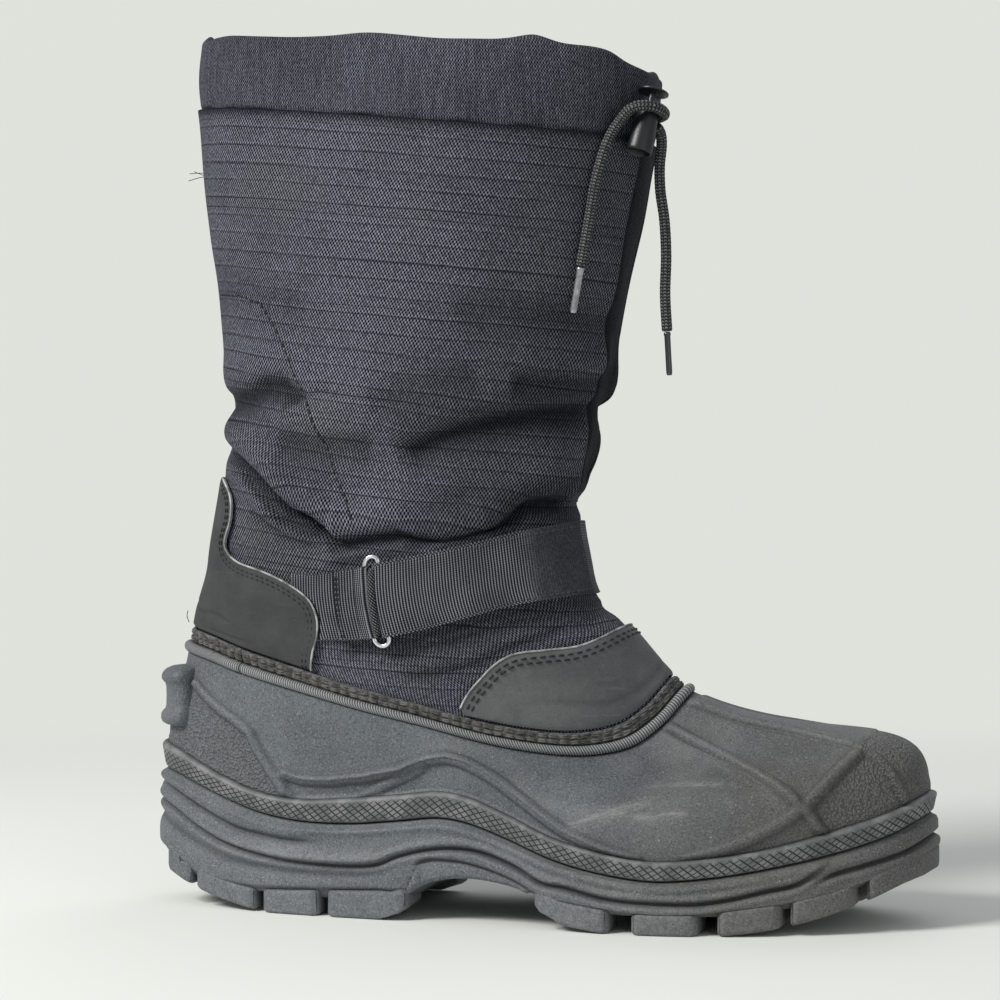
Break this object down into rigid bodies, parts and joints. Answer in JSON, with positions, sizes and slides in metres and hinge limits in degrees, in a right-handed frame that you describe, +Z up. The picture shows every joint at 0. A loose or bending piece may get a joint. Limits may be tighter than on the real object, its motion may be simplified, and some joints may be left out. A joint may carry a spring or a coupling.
{
  "type": "snow boot",
  "caption": "Right snow boot with a moulded rubber lower and lugged sole, padded nylon shaft, instep strap and a drawcord cuff with a spring cord lock.",
  "frame": {"origin": "on the ground, under the middle of the boot's bounding box, free cord ends not counted", "axes": "+X to the toe, +Y to the inner side of the foot, +Z up"},
  "size_m": [0.3286, 0.115, 0.362],
  "materials": {
    "sole_rubber": "matte grey rubber",
    "shell_rubber": "matte charcoal rubber",
    "edge_strip": "ribbed bead and stitched flange",
    "shaft_fabric": "black navy nylon",
    "cuff_fabric": "black ribbed nylon",
    "overlay": "smooth synthetic nubuck",
    "webbing": "ribbed polyester webbing",
    "ring_metal": "nickel plated wire",
    "lock_plastic": "black moulded plastic",
    "cord": "braided round cord",
    "aglet_clear": "clear shrink tube",
    "aglet_dark": "smoke shrink tube",
    "insole_felt": "dark felt"
  },
  "bodies": {
    "boot": {"outsole": "sole_rubber", "insole": "insole_felt", "shell": "shell_rubber", "edge_strip": "edge_strip", "upper": "shaft_fabric", "collar_cuff": "cuff_fabric", "heel_overlay": "overlay", "vamp_overlay": "overlay", "strap_anchor": "webbing", "strap_ring": "ring_metal", "strap": "webbing", "cord_lock_barrel": "lock_plastic", "drawcord_near": "cord", "drawcord_far": "cord", "aglet_near": "aglet_clear", "aglet_far": "aglet_dark"},
    "plunger": {"cord_lock_plunger": "lock_plastic"}
  },
  "joints": [
    {"name": "plunger_press", "type": "slide", "parent": "boot", "child": "plunger", "axis": [-0.1889, -0.2143, -0.9583], "range_m": [0, 0.004], "stiffness_N_per_m": 800, "springref_m": -0.0015}
  ]
}
